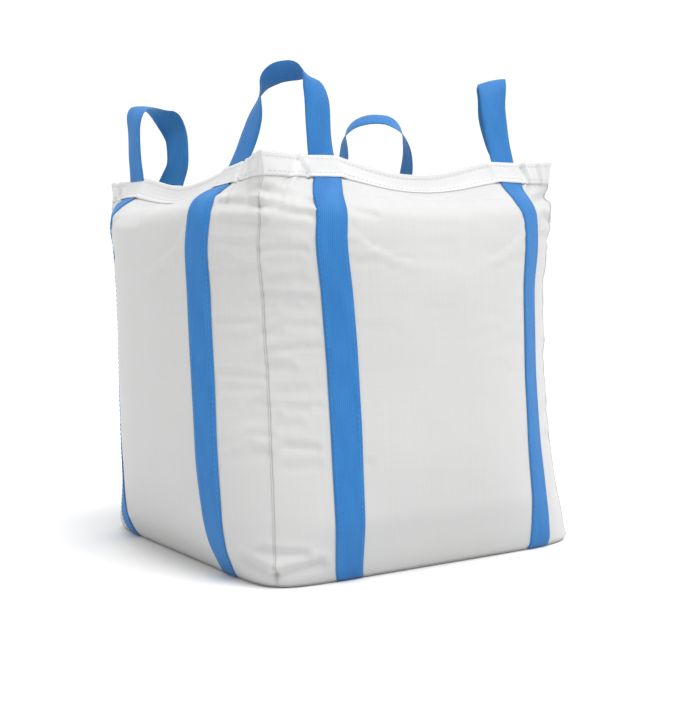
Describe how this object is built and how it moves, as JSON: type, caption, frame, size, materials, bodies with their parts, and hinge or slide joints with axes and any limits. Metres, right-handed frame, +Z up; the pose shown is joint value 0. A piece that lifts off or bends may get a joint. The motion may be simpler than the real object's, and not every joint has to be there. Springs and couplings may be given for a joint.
{
  "type": "bulk bag",
  "caption": "Filled open-top woven bulk bag with full-height side webbing and upright cross-corner lifting loops, standing on its flat base.",
  "frame": {"origin": "centre of the flat base, on the surface that the bag stands on", "axes": "+Z up to the mouth, front panel towards -Y, left panel towards -X"},
  "size_m": [1.0724, 1.1324, 1.1673],
  "materials": {
    "panel_fabric": "laminated woven polypropylene, faint satin sheen",
    "hem_fabric": "folded woven polypropylene band, matt",
    "seam_fabric": "folded and chain stitched, matt",
    "blue_webbing": "ribbed polypropylene webbing, low sheen",
    "contents": "loose granules"
  },
  "bodies": {
    "bag": {"front_panel": "panel_fabric", "right_panel": "panel_fabric", "back_panel": "panel_fabric", "left_panel": "panel_fabric", "bottom_panel": "panel_fabric", "hem_front": "hem_fabric", "hem_right": "hem_fabric", "hem_back": "hem_fabric", "hem_left": "hem_fabric", "base_seam_front": "seam_fabric", "base_seam_right": "seam_fabric", "base_seam_back": "seam_fabric", "base_seam_left": "seam_fabric", "strap_front_left": "blue_webbing", "strap_front_right": "blue_webbing", "strap_right_front": "blue_webbing", "strap_right_back": "blue_webbing", "strap_back_left": "blue_webbing", "strap_back_right": "blue_webbing", "strap_left_front": "blue_webbing", "strap_left_back": "blue_webbing", "corner_seam_front_left": "seam_fabric", "corner_seam_front_right": "seam_fabric", "corner_seam_back_right": "seam_fabric", "corner_seam_back_left": "seam_fabric", "bulk_fill": "contents"},
    "loop_front_left": {"lifting_loop_front_left": "blue_webbing"},
    "loop_front_right": {"lifting_loop_front_right": "blue_webbing"},
    "loop_back_right": {"lifting_loop_back_right": "blue_webbing"},
    "loop_back_left": {"lifting_loop_back_left": "blue_webbing"}
  },
  "joints": [
    {"name": "front_left_loop_fold", "type": "hinge", "parent": "bag", "child": "loop_front_left", "pos_m": [-0.34325, -0.35825, 0.952], "axis": [0.6369, -0.771, 0], "range_deg": [-90, 80], "stiffness_Nm_per_rad": 0.35},
    {"name": "front_right_loop_fold", "type": "hinge", "parent": "bag", "child": "loop_front_right", "pos_m": [0.34325, -0.35825, 0.952], "axis": [0.6369, 0.771, 0], "range_deg": [-90, 80], "stiffness_Nm_per_rad": 0.35},
    {"name": "back_right_loop_fold", "type": "hinge", "parent": "bag", "child": "loop_back_right", "pos_m": [0.34325, 0.35825, 0.952], "axis": [-0.6369, 0.771, 0], "range_deg": [-90, 80], "stiffness_Nm_per_rad": 0.35},
    {"name": "back_left_loop_fold", "type": "hinge", "parent": "bag", "child": "loop_back_left", "pos_m": [-0.34325, 0.35825, 0.952], "axis": [-0.6369, -0.771, 0], "range_deg": [-90, 80], "stiffness_Nm_per_rad": 0.35}
  ]
}
